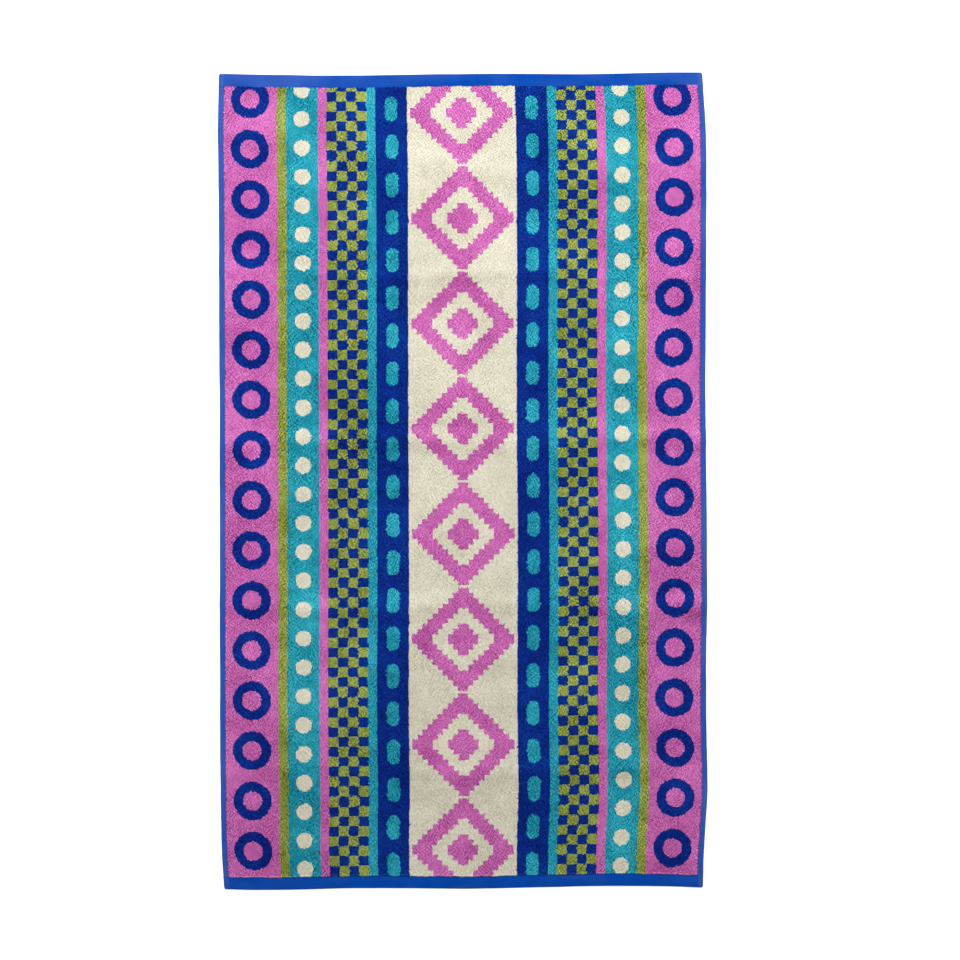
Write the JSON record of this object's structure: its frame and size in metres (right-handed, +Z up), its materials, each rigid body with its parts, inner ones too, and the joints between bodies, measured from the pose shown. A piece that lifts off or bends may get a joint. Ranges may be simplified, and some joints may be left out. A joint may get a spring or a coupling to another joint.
{
  "type": "bath towel laid flat",
  "caption": "Rectangular bath towel of looped terry laid out flat, with flat-woven end hems, narrow side hems and banded coloured pile.",
  "frame": {"origin": "on the surface the towel lies on, under the middle of the box around it", "axes": "+Y along the towel's length, +X across its width, +Z up through its thickness"},
  "size_m": [0.7636, 1.2752, 0.0065],
  "materials": {
    "terry": "looped cotton pile in several colours",
    "hem": "flat-woven cotton, royal blue"
  },
  "bodies": {
    "root": {"towel": "terry"}
  },
  "joints": []
}
